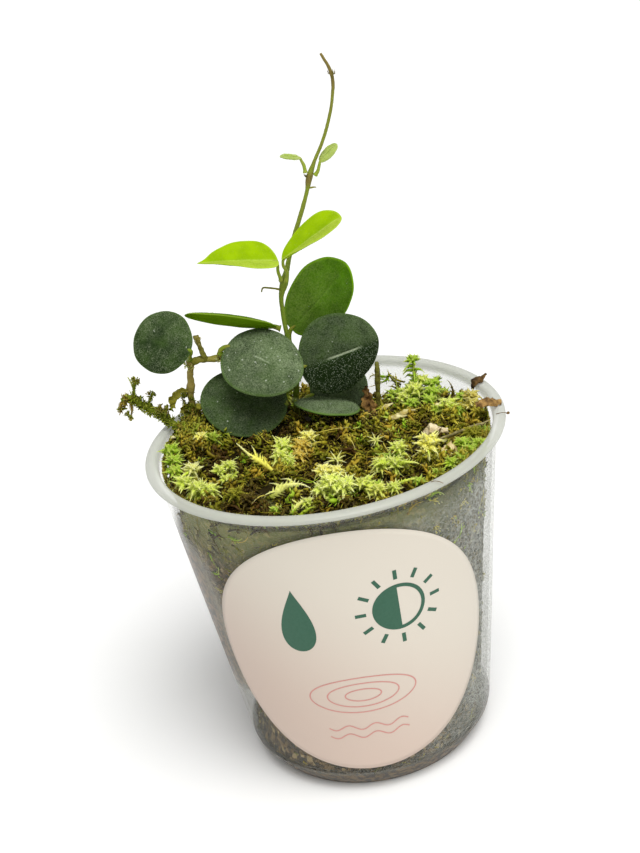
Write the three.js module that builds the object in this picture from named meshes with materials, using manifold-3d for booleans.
// A young trailing vine with round, leathery leaves, rooted in living sphagnum moss,
// in a clear nursery pot with one round paper sticker on its front.
// Millimetres, +Z up. The origin is the centre of the pot's foot, on the resting surface.
// The front, with the sticker, faces -Y.
import * as THREE from 'three';
import { mergeVertices } from 'three/addons/utils/BufferGeometryUtils.js';
import Module from 'manifold-3d';

const wasm = await Module();
wasm.setup();

// Driving dimensions of the pot
const POT_HEIGHT = 80;
const RIM_RADIUS = 41;
const RIM_WIDTH = 2.9;
const RIM_THICK = 1.3;
const WALL_TOP_RADIUS = 38.9;
const WALL_TOP_Z = 78.8;
const WALL_FOOT_RADIUS = 29.6;
const WALL_FOOT_Z = 5.4;
const FOOT_RADIUS = 26.4;
const WALL_THICK = 0.8;
const FLOOR_THICK = 1.1;
const DRAIN_HOLES = 6;
const DRAIN_RADIUS = 2.4;
const DRAIN_RING = 18;

// Driving dimensions of what fills it
const CLEARANCE = 0.3;
const FILL_GAP = 0.5;
const MOSS_LEVEL = 75.6;
const MOSS_THICK = 2.4;

// Driving dimensions of the sticker
const STICKER_RADIUS = 33.5;
const STICKER_CENTRE_Z = 41;
const STICKER_TURN = -0.042;
const STICKER_THICK = 0.35;

const plant = new THREE.Group();

// A repeatable stream of numbers between 0 and 1
function dice(seed) {
  let state = seed >>> 0;
  return () => {
    state = (state + 0x6d2b79f5) >>> 0;
    let mixed = Math.imul(state ^ (state >>> 15), 1 | state);
    mixed = (mixed + Math.imul(mixed ^ (mixed >>> 7), 61 | mixed)) ^ mixed;
    return ((mixed ^ (mixed >>> 14)) >>> 0) / 4294967296;
  };
}

// Turns a closed geometry into a solid that can be joined and cut
function solid(geometry) {
  const bare = geometry.index ? geometry.toNonIndexed() : geometry.clone();
  bare.deleteAttribute('normal');
  bare.deleteAttribute('uv');
  const merged = mergeVertices(bare, 1e-4);
  const corners = merged.index.array;
  const kept = [];
  for (let i = 0; i < corners.length; i += 3) {
    const [a, b, c] = [corners[i], corners[i + 1], corners[i + 2]];
    if (a !== b && b !== c && c !== a) kept.push(a, b, c);
  }
  const mesh = new wasm.Mesh({
    numProp: 3,
    vertProperties: new Float32Array(merged.attributes.position.array),
    triVerts: new Uint32Array(kept),
  });
  return new wasm.Manifold(mesh);
}

function join(solids) {
  return solids.reduce((whole, next) => whole.add(next));
}

// Keeps the main body and drops loose scraps
function mainBody(body) {
  const bodies = body.decompose();
  return bodies.reduce((big, next) => (next.volume() > big.volume() ? next : big));
}

function place(name, body, look) {
  const mesh = mainBody(body).getMesh();
  const geometry = new THREE.BufferGeometry();
  const stride = mesh.numProp;
  const count = mesh.vertProperties.length / stride;
  const points = new Float32Array(count * 3);
  for (let i = 0; i < count; i += 1) {
    for (let k = 0; k < 3; k += 1) points[i * 3 + k] = mesh.vertProperties[i * stride + k];
  }
  geometry.setAttribute('position', new THREE.BufferAttribute(points, 3));
  geometry.setIndex(new THREE.BufferAttribute(new Uint32Array(mesh.triVerts), 1));
  geometry.computeVertexNormals();
  const piece = new THREE.Mesh(geometry, new THREE.MeshStandardMaterial(look));
  piece.name = name;
  plant.add(piece);
}

// Moves every corner of a geometry by a rule
function reshape(geometry, rule) {
  const spots = geometry.attributes.position;
  const point = new THREE.Vector3();
  for (let i = 0; i < spots.count; i += 1) {
    point.fromBufferAttribute(spots, i);
    rule(point);
    spots.setXYZ(i, point.x, point.y, point.z);
  }
  return geometry;
}

// A solid of revolution round +Z from [radius, height] points
function turned(profile, segments) {
  const outline = profile.map(([radius, height]) => new THREE.Vector2(radius, height));
  const shape = new THREE.LatheGeometry(outline, segments);
  return shape.rotateX(Math.PI / 2);
}

// A stem or strand along a curve: each stop is [x, y, z, radius]
function strand(stops, sides, steps) {
  const curve = new THREE.CatmullRomCurve3(
    stops.map(([x, y, z]) => new THREE.Vector3(x, y, z)),
    false,
    'centripetal',
  );
  const frames = curve.computeFrenetFrames(steps, false);
  const shape = new THREE.CylinderGeometry(1, 1, 1, sides, steps);
  return solid(reshape(shape, (point) => {
    const along = THREE.MathUtils.clamp(point.y + 0.5, 0, 1);
    const ring = Math.round(along * steps);
    const span = along * (stops.length - 1);
    const stop = Math.min(Math.floor(span), stops.length - 2);
    const radius = THREE.MathUtils.lerp(stops[stop][3], stops[stop + 1][3], span - stop);
    const middle = curve.getPoint(along);
    const side = frames.normals[ring].clone().multiplyScalar(point.x * radius);
    const cross = frames.binormals[ring].clone().multiplyScalar(-point.z * radius);
    point.copy(middle).add(side).add(cross);
  }));
}

// Height of the moss: a mound at the left back and below the leaves, low at the right back
function mound(x, y, cx, cy, wide, high) {
  return high * Math.exp(-((x - cx) ** 2 + (y - cy) ** 2) / (2 * wide ** 2));
}

function mossTop(x, y) {
  const swell = 0.5 * Math.sin(0.25 * x + 1.1) * Math.cos(0.22 * y - 0.4);
  return MOSS_LEVEL + swell
    + mound(x, y, -29, 13, 11, 3.2)
    + mound(x, y, -22, -14, 13, 1.2)
    + mound(x, y, 2, -28, 15, 1.2)
    + mound(x, y, 22, 30, 14, -4.2)
    + mound(x, y, 4, 36, 12, -2.4);
}

function wallRadius(z) {
  const rise = (z - WALL_FOOT_Z) / (WALL_TOP_Z - WALL_FOOT_Z);
  return THREE.MathUtils.lerp(WALL_FOOT_RADIUS, WALL_TOP_RADIUS, rise);
}

function fillRadius(z) {
  return wallRadius(z) - WALL_THICK - FILL_GAP;
}

// Pot: one thin shell with a flat rolled rim, a chamfered foot and drain holes off the centre
const POT_SEGMENTS = 64;

function potShell() {
  const rimUnder = POT_HEIGHT - RIM_THICK;
  const innerFoot = FOOT_RADIUS - 0.35;
  const profile = [
    [0, 0],
    [FOOT_RADIUS, 0],
    [WALL_FOOT_RADIUS, WALL_FOOT_Z],
    [WALL_TOP_RADIUS, WALL_TOP_Z - 0.6],
    [RIM_RADIUS - 0.2, rimUnder],
    [RIM_RADIUS, rimUnder + 0.6],
    [RIM_RADIUS - 0.6, POT_HEIGHT],
    [RIM_RADIUS - RIM_WIDTH + 0.3, POT_HEIGHT - 0.1],
    [WALL_TOP_RADIUS - WALL_THICK, WALL_TOP_Z],
    [WALL_FOOT_RADIUS - WALL_THICK, WALL_FOOT_Z],
    [innerFoot, FLOOR_THICK],
    [0, FLOOR_THICK],
  ];
  let shell = solid(turned(profile, POT_SEGMENTS));
  for (let i = 0; i < DRAIN_HOLES; i += 1) {
    const turn = (i + 0.5) * 2 * Math.PI / DRAIN_HOLES;
    const drill = new THREE.CylinderGeometry(DRAIN_RADIUS, DRAIN_RADIUS, 4, 10);
    drill.rotateX(Math.PI / 2);
    drill.translate(DRAIN_RING * Math.cos(turn), DRAIN_RING * Math.sin(turn), 0.5);
    shell = shell.subtract(solid(drill));
  }
  return shell;
}

place('pot', potShell(), { color: 0xd7dccd, roughness: 0.25, metalness: 0 });

// Sticker: a round sheet laid on the cone of the wall
const STICKER_SEGMENTS = 36;

function stickerSheet() {
  const rings = [0, 0.2, 0.4, 0.6, 0.8, 1].map((share) => share * STICKER_RADIUS);
  const face = rings.map((radius) => [radius, 0]);
  const back = rings.toReversed().map((radius) => [radius, STICKER_THICK]);
  const disc = turned([...face, ...back], STICKER_SEGMENTS);
  return solid(reshape(disc, (point) => {
    const z = STICKER_CENTRE_Z + point.y;
    const radius = wallRadius(z) + CLEARANCE + point.z;
    const turn = STICKER_TURN + point.x / wallRadius(STICKER_CENTRE_Z + point.y);
    point.set(radius * Math.sin(turn), -radius * Math.cos(turn), z);
  }));
}

place('sticker', stickerSheet(), { color: 0xf1e9df, roughness: 0.6, metalness: 0 });

// Stems stand in plain holes: each hole is [x, y, radius, bottom], its bottom just under the stem
const rootHoles = [];
const HOLE_TOP = POT_HEIGHT + 12;
const UNDER_CARPET = 55;

function rooted(stops, radius) {
  const [[x0, y0, z0], [x1, y1]] = stops;
  rootHoles.push([(x0 + x1) / 2, (y0 + y1) / 2, radius, z0 - CLEARANCE - 0.1]);
}

function plainHole(x, y, radius, bottom) {
  const deep = HOLE_TOP - bottom;
  const drill = new THREE.CylinderGeometry(radius, radius, deep, 6);
  drill.rotateX(Math.PI / 2);
  drill.translate(x, y, bottom + deep / 2);
  return solid(drill);
}

// A layer of the filling: its top, and its underside where it has one, follow the moss
const FILL_RINGS = [3.5, 8, 12.5, 17, 21.5, 26, 30.5, 34.5];
const FILL_SEGMENTS = 36;
const TOP_MARK = 200;
const UNDER_MARK = 100;
const EDGE_MARK = 60;

function ringsAt(mark) {
  return [[0, mark], ...FILL_RINGS.map((radius) => [radius, mark]), [EDGE_MARK, mark]];
}

function fillLayer(topDrop, underDrop, foot = []) {
  const under = foot.length ? foot : ringsAt(UNDER_MARK);
  const profile = [...under, ...ringsAt(TOP_MARK).toReversed()];
  return reshape(turned(profile, FILL_SEGMENTS), (point) => {
    if (point.z < UNDER_MARK - 1) return;
    const drop = point.z > TOP_MARK - 1 ? topDrop : underDrop;
    const turn = Math.atan2(point.y, point.x);
    const radius = Math.hypot(point.x, point.y);
    const atEdge = radius > EDGE_MARK - 1;
    const reach = atEdge ? fillRadius(MOSS_LEVEL - drop) : radius;
    point.x = reach * Math.cos(turn);
    point.y = reach * Math.sin(turn);
    point.z = mossTop(point.x, point.y) - drop;
    if (atEdge) {
      point.x = fillRadius(point.z) * Math.cos(turn);
      point.y = fillRadius(point.z) * Math.sin(turn);
    }
  });
}

// Leaves. Each is an oval lens from its base to its tip, facing a direction.
// egg > 0 makes it widest towards the tip, dome raises the middle of the face,
// fold lifts both halves from the midrib, droop lowers the tip, point draws the tip out.
function leafBlade(leaf) {
  const base = new THREE.Vector3(...leaf.base);
  const tip = new THREE.Vector3(...leaf.tip);
  const along = tip.clone().sub(base);
  const half = along.length() / 2;
  along.normalize();
  const face = new THREE.Vector3(...leaf.face);
  face.addScaledVector(along, -face.dot(along)).normalize();
  const side = face.clone().cross(along);
  const centre = base.clone().lerp(tip, 0.5);
  const { thick, dome = 0, fold = 0, droop = 0, point = 0, egg = 0 } = leaf;
  const rings = leaf.rings ?? [0.5, 0.85];
  const skin = (r) => 0.5 * thick * Math.sqrt(Math.max(0, 1 - r ** 2.4));
  const profile = [[0, -0.5 * thick], ...rings.map((r) => [r, -skin(r)]), [1, 0]];
  profile.push(...rings.toReversed().map((r) => [r, skin(r)]), [0, 0.5 * thick]);
  return solid(reshape(turned(profile, leaf.segments ?? 24), (spot) => {
    const u = spot.x;
    const v = spot.y;
    const out = Math.hypot(u, v);
    const tipDraw = 1 + point * Math.exp(-((v / 0.22) ** 2)) * Math.max(0, u) ** 2;
    const bend = dome * (1 - out ** 2) + fold * Math.sqrt(v * v + 0.01) - droop * Math.max(0, u) ** 2;
    const lift = spot.z + bend;
    const reach = 0.5 * leaf.width * v * (1 + egg * u);
    spot.copy(centre).addScaledVector(along, half * u * tipDraw);
    spot.addScaledVector(side, reach).addScaledVector(face, lift);
  }));
}

// The petiole runs from beside the stem into the blade: stops are [x, y, z]
function petiole(leaf, radius = 0.6) {
  const base = new THREE.Vector3(...leaf.base);
  const inward = new THREE.Vector3(...leaf.tip).sub(base).normalize();
  const root = base.clone().addScaledVector(inward, leaf.sink ?? 2.4);
  const stops = leaf.petiole.map((spot) => [...spot, radius]);
  stops.push([...base.addScaledVector(inward, 0.3), radius], [...root, radius * 0.7]);
  return strand(stops, 5, stops.length + 1);
}

const MATURE_THICK = 1.9;
const matureLook = { color: 0x35492b, roughness: 0.55, metalness: 0 };
const brightLook = { color: 0x4f7a2a, roughness: 0.45, metalness: 0 };
const youngLook = { color: 0x9ccf22, roughness: 0.4, metalness: 0 };

const leaves = {
  leaf_far_left: {
    base: [-26.3, 8.1, 100.8], tip: [-38.5, 14.7, 104.5], face: [-0.27, -0.8, 0.53], width: 14.5,
    thick: MATURE_THICK, dome: 1.0, egg: 0.04, petiole: [[-27.6, 13.5, 96.8], [-27.2, 10.4, 98.6]],
    look: matureLook,
  },
  leaf_centre: {
    base: [-18.7, 13.3, 98.4], tip: [-3.4, 5.3, 90.2], face: [0.1, -0.62, 0.78], width: 17.7,
    thick: MATURE_THICK, dome: 1.0, egg: -0.08, petiole: [[-20.4, 13.5, 96.6], [-20.1, 13.3, 97.6]],
    look: matureLook,
  },
  leaf_low_left: {
    base: [-7.2, 12.7, 81.6], tip: [-27.1, 13.0, 86.5], face: [0.18, -0.58, 0.79], width: 18.5,
    thick: MATURE_THICK, dome: 0.9, egg: -0.04, petiole: [[-6.0, 17.2, 83.6], [-8.0, 14.8, 82.6]],
    look: matureLook,
  },
  leaf_right: {
    base: [-2.8, 11.2, 91.0], tip: [16.3, 17.3, 92.2], face: [0.3, -0.95, 0.09], width: 19.0,
    thick: MATURE_THICK, dome: 1.0, egg: -0.16, petiole: [[-4.1, 15.1, 90.6], [-3.8, 13.2, 90.8]],
    look: matureLook,
  },
  leaf_upright: {
    base: [-3.8, 18.5, 97.4], tip: [12.0, 27.3, 107.9], face: [0.42, -0.9, 0.13], width: 15.4,
    thick: 1.4, dome: 0.5, egg: 0.14, petiole: [[-4.2, 17.8, 93.4], [-4.3, 18.3, 95.4]],
    look: brightLook,
  },
  leaf_edge_on: {
    base: [-6.6, 16.6, 99.6], tip: [-26.8, 17.3, 106.0], face: [0.29, 0.49, 0.82], width: 13.5,
    thick: 1.4, dome: 0.4, egg: 0.04, petiole: [[-5.8, 16.6, 99.1], [-6.2, 16.6, 99.3]],
    look: brightLook,
  },
  leaf_front: {
    base: [-5.6, 14.6, 81.1], tip: [8.9, 9.8, 78.1], face: [0.25, 0.13, 0.96], width: 13.5,
    thick: 1.7, dome: 0.4, egg: 0.1, petiole: [[-5.3, 18.2, 79.9], [-5.6, 16.6, 80.6]],
    look: matureLook,
  },
  leaf_behind: {
    base: [-1.5, 21.6, 78.9], tip: [12.2, 23.6, 80.4], face: [0.0, -0.86, 0.5], width: 14.0,
    thick: 1.7, dome: 0.6, petiole: [[-3.6, 20.4, 78.3], [-2.7, 21.1, 78.7]], look: matureLook,
  },
  young_leaf_left: {
    base: [-3.5, 12.8, 116.3], tip: [-19.9, 10.4, 119.9], face: [0.1, -0.3, 0.95], width: 10.2,
    thick: 0.9, fold: 3.6, egg: -0.42, point: 0.12, droop: 0.4,
    petiole: [[-3.6, 14.9, 111.1], [-4.0, 14.2, 113.6], [-3.8, 13.3, 115.6]], look: youngLook,
  },
  young_leaf_right: {
    base: [-2.6, 12.0, 116.7], tip: [12.0, 10.8, 124.6], face: [-0.5, -0.3, 0.8], width: 8.6,
    thick: 0.9, fold: 2.6, egg: 0.36,
    petiole: [[-2.6, 14.5, 110.8], [-2.0, 13.6, 113.2], [-2.6, 12.6, 115.4]], look: youngLook,
  },
  tip_leaf_left: {
    base: [5.3, 15.6, 137.8], tip: [0.8, 13.8, 139.4], face: [0.3, -0.3, 0.9], width: 2.0,
    thick: 0.7, fold: 0.3, segments: 12, rings: [0.7], sink: 0.9,
    petiole: [[5.7, 16.1, 134.4], [5.7, 16.0, 135.8], [5.3, 15.7, 137.2]], look: youngLook,
  },
  tip_leaf_right: {
    base: [9.2, 16.2, 136.2], tip: [13.6, 16.8, 139.3], face: [-0.3, -0.7, 0.6], width: 3.4,
    thick: 0.7, segments: 12, rings: [0.7], sink: 0.9,
    petiole: [[7.8, 16.6, 133.3], [8.5, 16.4, 134.2], [9.1, 16.2, 135.7]], look: youngLook,
  },
};

for (const [name, leaf] of Object.entries(leaves)) {
  const slim = leaf.thick < 1 ? 0.4 : 0.6;
  place(name, leafBlade(leaf).add(petiole(leaf, slim)), leaf.look);
}

// Young shoot: up from its roots behind the leaves, two nodes, a scaly joint and a thin bare tip
const shootStops = [
  [-6.0, 21.2, 66.0, 0.7],
  [-5.7, 20.4, 72.0, 0.8],
  [-5.2, 19.4, 80.0, 0.8],
  [-4.2, 17.6, 86.0, 0.75],
  [-4.5, 16.4, 91.0, 0.75],
  [-4.6, 16.6, 97.0, 0.72],
  [-4.6, 16.6, 102.7, 0.7],
  [-4.2, 16.3, 107.3, 0.7],
  [-3.2, 16.2, 109.8, 1.05],
  [-2.0, 16.4, 112.9, 0.7],
  [0.2, 16.8, 118.6, 0.62],
  [3.8, 17.0, 126.2, 0.58],
  [5.6, 17.0, 130.4, 0.55],
  [6.3, 17.0, 132.6, 0.8],
  [8.0, 16.6, 136.2, 0.5],
  [10.3, 16.0, 140.2, 0.48],
  [12.5, 15.0, 145.2, 0.45],
  [13.9, 14.0, 149.7, 0.42],
  [14.6, 13.2, 154.6, 0.45],
  [14.2, 12.8, 156.8, 0.42],
  [13.5, 12.5, 158.6, 0.36],
  [12.9, 12.3, 160.0, 0.3],
];

const rootlets = [
  [[-4.1, 16.1, 108.6, 0.25], [-6.4, 15.5, 109.6, 0.22], [-8.2, 15.0, 110.0, 0.2], [-8.5, 15.0, 109.2, 0.18]],
  [[6.1, 16.9, 130.6, 0.22], [7.2, 16.8, 130.6, 0.18], [7.6, 16.8, 130.5, 0.15]],
];

function youngShoot() {
  const parts = rootlets.map((stops) => strand(stops, 4, 4));
  parts.push(strand(shootStops, 7, 44));
  return join(parts);
}

place('young_shoot', youngShoot(), { color: 0x7b9a2e, roughness: 0.5, metalness: 0 });
rooted(shootStops, 2.1);

// Old creeping stem: rooted at the left, up to an elbow, then level to the young shoot
const oldStem = [
  [-29.6, 15.8, 68.6, 0.8],
  [-29.8, 16.0, 74.0, 1.0],
  [-30.2, 16.2, 79.7, 1.05],
  [-29.3, 16.0, 86.0, 0.95],
  [-28.9, 15.5, 89.8, 1.05],
  [-28.0, 15.2, 92.9, 0.9],
  [-27.5, 14.9, 95.6, 1.1],
];
const levelBranch = [
  [-27.8, 14.9, 95.2, 0.8],
  [-25.8, 14.7, 95.7, 0.85],
  [-23.3, 14.7, 95.4, 0.7],
  [-20.4, 14.9, 95.2, 0.95],
  [-15.0, 15.6, 94.6, 0.65],
  [-10.0, 16.4, 93.7, 0.65],
  [-5.7, 16.5, 92.9, 0.6],
];
const brokenStub = [
  [-24.0, 14.6, 95.5, 0.75],
  [-24.6, 13.9, 99.0, 0.6],
  [-25.0, 13.4, 102.0, 0.7],
];
const stemScraps = [
  [[-29.5, 16.0, 88.4, 0.5], [-31.8, 14.9, 89.2, 0.9], [-34.2, 14.2, 88.3, 0.7], [-34.1, 14.0, 85.6, 0.1]],
  [[-30.0, 16.0, 82.2, 0.8], [-31.4, 15.2, 83.2, 0.9], [-31.8, 14.8, 84.6, 0.1]],
  [[-29.8, 16.0, 81.4, 0.9], [-28.0, 15.0, 83.6, 0.8], [-27.2, 14.6, 84.4, 0.1]],
];

function creepingStem() {
  const parts = [strand(oldStem, 7, 14), strand(levelBranch, 6, 12), strand(brokenStub, 5, 3)];
  for (const stops of stemScraps) parts.push(strand(stops, 4, 4));
  return join(parts);
}

place('old_stem', creepingStem(), { color: 0x7a6a3c, roughness: 0.8, metalness: 0 });
rooted(oldStem, 2.1);

// Mossy strand that leans out over the rim on the left
const mossyArm = [
  [-31.6, 11.6, 74.6, 0.6],
  [-32.4, 12.0, 79.0, 0.9],
  [-36.0, 14.4, 82.9, 1.1],
  [-39.4, 15.5, 85.4, 1.0],
  [-41.6, 16.0, 87.4, 1.1],
  [-43.6, 16.0, 88.9, 0.9],
  [-45.3, 16.0, 88.4, 1.0],
];
const mossyTwigs = [
  [[-42.3, 16.0, 88.0, 0.5], [-41.9, 16.0, 91.0, 0.6], [-42.6, 16.0, 94.0, 0.1]],
  [[-42.0, 16.0, 90.4, 0.5], [-41.0, 16.0, 92.6, 0.5], [-40.3, 16.0, 93.6, 0.1]],
  [[-39.8, 15.6, 86.0, 0.5], [-38.4, 15.8, 87.8, 0.7], [-37.6, 16.0, 89.0, 0.1]],
  [[-43.3, 16.0, 88.0, 0.6], [-43.4, 16.0, 85.6, 0.8], [-44.2, 16.0, 83.4, 0.1]],
  [[-45.0, 16.0, 88.4, 0.8], [-46.0, 15.8, 87.0, 0.8], [-45.9, 15.8, 85.2, 0.1]],
  [[-36.0, 14.2, 83.2, 0.7], [-35.4, 12.8, 85.0, 0.9], [-34.9, 12.2, 86.8, 0.1]],
  [[-37.2, 14.6, 83.8, 0.7], [-37.0, 13.6, 86.0, 0.8], [-38.6, 13.4, 86.6, 0.1]],
  [[-38.0, 15.0, 84.2, 0.7], [-40.0, 14.4, 83.4, 0.7], [-42.2, 14.6, 84.2, 0.1]],
];

function mossyStrand() {
  const parts = [strand(mossyArm, 5, 12)];
  for (const stops of mossyTwigs) parts.push(strand(stops, 4, 3));
  return join(parts);
}

place('mossy_strand', mossyStrand(), { color: 0x5d6b22, roughness: 0.9, metalness: 0 });
rooted(mossyArm, 1.6);

// Moss heads: a star of needles raised from the faces of a small core, on a stalk that stands
// in a plain hole. size = reach of the needles, lift = how far the core stands off the carpet,
// upper = a second, smaller head [x, y, z from the first, size] at the end of a leafy strand.
const CORE_SHARE = 0.38;
const STALK_SHARE = 0.16;
const heads = {
  moss_left_rim: { at: [-34.0, 1.0], size: 4.2, seed: 11, color: 0x6f8f24 },
  moss_left_lime: { at: [-28.8, -14.6], size: 4.8, seed: 12, color: 0x8fb43a },
  moss_left_bright: { at: [-22.6, -12.0], size: 3.2, seed: 13, color: 0xa5c94a },
  moss_front_lime: { at: [0.2, -28.2], size: 4.6, seed: 14, color: 0xa8c63c },
  moss_front_green: { at: [7.8, -30.8], size: 3.2, seed: 15, color: 0x7f9f2e },
  moss_front_right: { at: [12.8, -20.6], size: 5.0, seed: 16, color: 0x7c9c2c },
  moss_right_front: { at: [31.4, -15.2], size: 3.6, seed: 17, color: 0x7a9a30 },
  moss_back_right: {
    at: [23.4, 16.2], size: 5.6, seed: 18, color: 0x7fa22c, lift: 2.0, upper: [0.2, 3.0, 7.0, 2.4],
  },
  moss_right_green: { at: [28.8, 5.4], size: 3.6, seed: 19, color: 0x6d8f28 },
  moss_right_brown: { at: [34.2, 3.0], size: 3.1, seed: 20, color: 0x9a9140, lift: 1.6 },
  moss_centre_yellow: { at: [-7.4, -7.2], size: 5.0, seed: 21, color: 0xc3c84c },
  moss_star_yellow: { at: [21.8, -13.2], size: 3.4, seed: 22, color: 0xd0cf6a },
  moss_star_pale: { at: [1.6, -13.0], size: 2.8, seed: 23, color: 0xd8d69a },
  moss_star_small: { at: [11.0, -7.0], size: 2.2, seed: 24, color: 0xdad8a0 },
  moss_back_left: { at: [-19.4, 25.6], size: 4.2, seed: 25, color: 0x76962c },
  moss_back_centre: { at: [-9.0, 30.4], size: 4.6, seed: 26, color: 0x8aac38 },
  moss_back_mid: { at: [8.6, 31.0], size: 4.0, seed: 27, color: 0x93b23c },
  moss_back_low: { at: [19.6, 25.4], size: 3.8, seed: 28, color: 0x6f8f28 },
  moss_stem_foot: { at: [-26.6, 2.6], size: 2.6, seed: 29, color: 0x9a9f30, lift: 0.8 },
  moss_front_left: { at: [-19.6, -24.4], size: 3.6, seed: 30, color: 0x8a8c34 },
  moss_front_corner: { at: [26.6, -23.0], size: 2.6, seed: 31, color: 0x8c9c34 },
};

function spikedCore(size, seed) {
  const roll = dice(seed);
  const ball = new THREE.IcosahedronGeometry(size * CORE_SHARE, 1).attributes.position;
  const corners = [];
  for (let i = 0; i < ball.count; i += 3) {
    const [p, q, r] = [0, 1, 2].map((k) => new THREE.Vector3().fromBufferAttribute(ball, i + k));
    const aim = p.clone().add(q).add(r).normalize();
    if (aim.z > -0.35) {
      const reach = size * (0.74 + 0.26 * roll()) * (1 - 0.15 * Math.max(0, aim.z));
      const tip = aim.clone();
      tip.x += 0.3 * (roll() - 0.5);
      tip.y += 0.3 * (roll() - 0.5);
      tip.z = Math.max(tip.z, -0.16);
      tip.setLength(reach);
      corners.push(p, q, tip, q, r, tip, r, p, tip);
    } else {
      corners.push(p, q, r);
    }
  }
  return new THREE.BufferGeometry().setFromPoints(corners);
}

function mossHead(head) {
  const [x, y] = head.at;
  const ground = mossTop(x, y);
  const middle = [x, y, ground + head.size * CORE_SHARE + 0.8 + (head.lift ?? 0)];
  const stalk = head.size * STALK_SHARE;
  const foot = [x, y, ground - MOSS_THICK + 0.5];
  const parts = [solid(spikedCore(head.size, head.seed).translate(...middle))];
  parts.push(strand([[...foot, stalk], [...middle, stalk]], 5, 1));
  if (head.upper) {
    const [dx, dy, dz, size] = head.upper;
    const top = [x + dx, y + dy, middle[2] + dz];
    parts.push(strand([[...middle, stalk], [...top, stalk * 0.7]], 5, 1));
    parts.push(solid(spikedCore(size, head.seed + 1).translate(...top)));
  }
  return join(parts);
}

for (const [name, head] of Object.entries(heads)) {
  place(name, mossHead(head), { color: head.color, roughness: 0.9, metalness: 0 });
}

// Loose strands and scraps that lie on the moss: stops are [x, y, height over the moss, radius]
const laid = {
  pale_strand_long: { stops: [[-13.4, -24.6, 1.3, 0.4], [-9.8, -23.0, 2.1, 0.5], [-6.6, -23.4, 2.1, 0.5],
    [-4.8, -24.6, 1.4, 0.3]], color: 0xcfc98a },
  pale_strand_rim: { stops: [[-9.2, -33.2, 1.2, 0.3], [-8.0, -31.8, 1.9, 0.4], [-6.4, -30.4, 2.1, 0.45],
    [-4.9, -29.4, 1.4, 0.3]], color: 0xcfc98a },
  curled_strand: { stops: [[13.0, -27.8, 1.2, 0.4], [14.4, -29.2, 2.6, 0.5], [16.4, -29.0, 2.7, 0.5],
    [17.6, -27.4, 1.8, 0.4], [16.8, -26.2, 1.2, 0.3]], color: 0xa9b24a },
  yellow_spike: { stops: [[-12.8, -14.0, 1.5, 0.3], [-16.2, -8.4, 2.6, 0.6], [-18.6, -4.2, 2.8, 0.5],
    [-19.8, -1.6, 3.4, 0.1]], color: 0xcbbf4e },
  beige_lump: { stops: [[22.6, -5.6, 1.3, 0.7], [24.2, -6.4, 2.2, 1.4], [26.4, -6.8, 2.2, 1.3],
    [27.8, -6.2, 1.5, 0.7]], color: 0xc9b184 },
  tan_leaf: { stops: [[24.8, -18.8, 1.0, 0.5], [25.8, -17.8, 1.7, 0.9], [26.4, -16.4, 2.4, 0.8],
    [26.6, -15.0, 3.4, 0.3]], color: 0xc2a56a },
  dry_leaf: { stops: [[11.8, 16.6, 0.8, 0.8], [11.8, 17.4, 2.8, 0.9], [12.0, 18.2, 5.0, 0.8],
    [11.8, 18.6, 7.0, 0.4]], color: 0x9c7458 },
};

for (const [name, scrap] of Object.entries(laid)) {
  const stops = scrap.stops.map(([x, y, over, radius]) => [x, y, mossTop(x, y) + over, radius]);
  place(name, strand(stops, 5, stops.length * 2), { color: scrap.color, roughness: 0.9, metalness: 0 });
}

// Two bark flakes rest on the rim, and a stub stick stands in the moss
const ON_RIM = POT_HEIGHT + CLEARANCE;
const barkLook = { color: 0x6a4629, roughness: 0.9, metalness: 0 };
const barkOnRim = [
  [34.6, -2.4, ON_RIM + 0.4, 0.4],
  [36.6, -3.0, ON_RIM + 0.9, 0.9],
  [38.6, -3.4, ON_RIM + 0.9, 0.9],
  [40.0, -3.0, ON_RIM + 0.9, 0.5],
];
const barkAtBack = [
  [35.4, 10.2, 78.7, 0.4],
  [36.2, 10.0, ON_RIM + 0.3, 0.8],
  [37.6, 9.8, ON_RIM + 0.9, 0.8],
  [39.0, 9.6, ON_RIM + 1.4, 0.3],
];
place('bark_flake_rim', strand(barkOnRim, 6, 6), barkLook);
place('bark_flake_back', strand(barkAtBack, 5, 6), barkLook);

const stick = [[13.4, 18.3, 64.0, 0.5], [14.0, 18.0, 76.0, 0.55], [14.9, 17.2, 86.4, 0.5]];
place('stub_stick', strand(stick, 6, 5), { color: 0x8a7a45, roughness: 0.9, metalness: 0 });
rooted(stick, 1.3);

// Moss carpet: a rough sheet whose tufts rise from its top, open round every stem and stalk.
// Under a low leaf, given by [x, y, reach], the tufts stay short.
const TUFT_HEIGHT = 2.6;
const lowLeaves = [[-17, 9, 13], [2, 12, 11], [6, 21, 10]];

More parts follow.
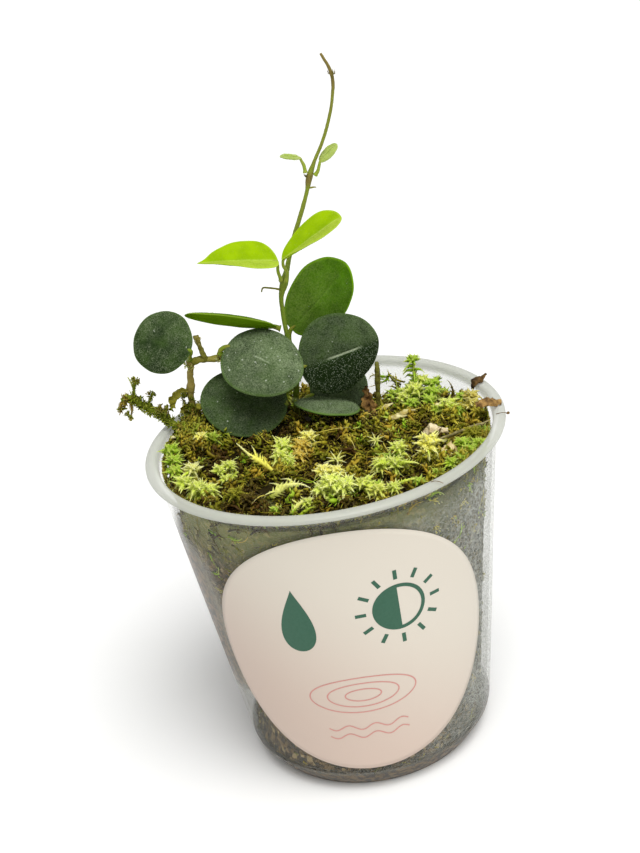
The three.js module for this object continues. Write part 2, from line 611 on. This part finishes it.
function tuftHeight(x, y) {
  const near = (spots, reach) => spots.some(([sx, sy]) => Math.hypot(x - sx, y - sy) < reach);
  const byHead = Object.values(heads).some((head) => near([head.at], head.size + 1.4));
  const byScrap = Object.values(laid).some((scrap) => near(scrap.stops, 2.6));
  if (byHead || byScrap || near(rootHoles, 3.6)) return 0;
  return lowLeaves.some((spot) => near([spot], spot[2])) ? TUFT_HEIGHT * 0.3 : TUFT_HEIGHT;
}

function tufted(sheet) {
  const roll = dice(7);
  const flat = sheet.toNonIndexed().attributes.position;
  const corners = [];
  for (let i = 0; i < flat.count; i += 3) {
    const [p, q, r] = [0, 1, 2].map((k) => new THREE.Vector3().fromBufferAttribute(flat, i + k));
    const facing = q.clone().sub(p).cross(r.clone().sub(p));
    const middle = p.clone().add(q).add(r).divideScalar(3);
    const outer = Math.hypot(middle.x, middle.y);
    const height = tuftHeight(middle.x, middle.y) * (0.45 + 0.55 * roll());
    const lean = [2.4 * (roll() - 0.5), 2.4 * (roll() - 0.5)];
    const onTop = facing.z > 0.5 * facing.length() && facing.length() > 2;
    if (onTop && outer < 34 && height > 0.2) {
      const tip = middle.clone().add(new THREE.Vector3(lean[0], lean[1], height));
      corners.push(p, q, tip, q, r, tip, r, p, tip);
    } else {
      corners.push(p, q, r);
    }
  }
  return new THREE.BufferGeometry().setFromPoints(corners);
}

function mossCarpet() {
  let carpet = solid(tufted(fillLayer(0, MOSS_THICK)));
  for (const head of Object.values(heads)) {
    const [x, y] = head.at;
    carpet = carpet.subtract(plainHole(x, y, head.size * STALK_SHARE + CLEARANCE, UNDER_CARPET));
  }
  for (const [x, y, radius] of rootHoles) {
    carpet = carpet.subtract(plainHole(x, y, radius, UNDER_CARPET));
  }
  return carpet;
}

place('moss_carpet', mossCarpet(), { color: 0x5f5a26, roughness: 0.95, metalness: 0 });

// Potting mix: fills the pot to just under the moss, with a blind hole for each rooted stem
function pottingMix() {
  const floor = FLOOR_THICK + CLEARANCE;
  const foot = [[0, floor], [FOOT_RADIUS - 1, floor], [fillRadius(WALL_FOOT_Z), WALL_FOOT_Z]];
  let mix = solid(fillLayer(MOSS_THICK + CLEARANCE, 0, foot));
  for (const hole of rootHoles) mix = mix.subtract(plainHole(...hole));
  return mix;
}

place('potting_mix', pottingMix(), { color: 0x55524a, roughness: 0.95, metalness: 0 });

export default plant;
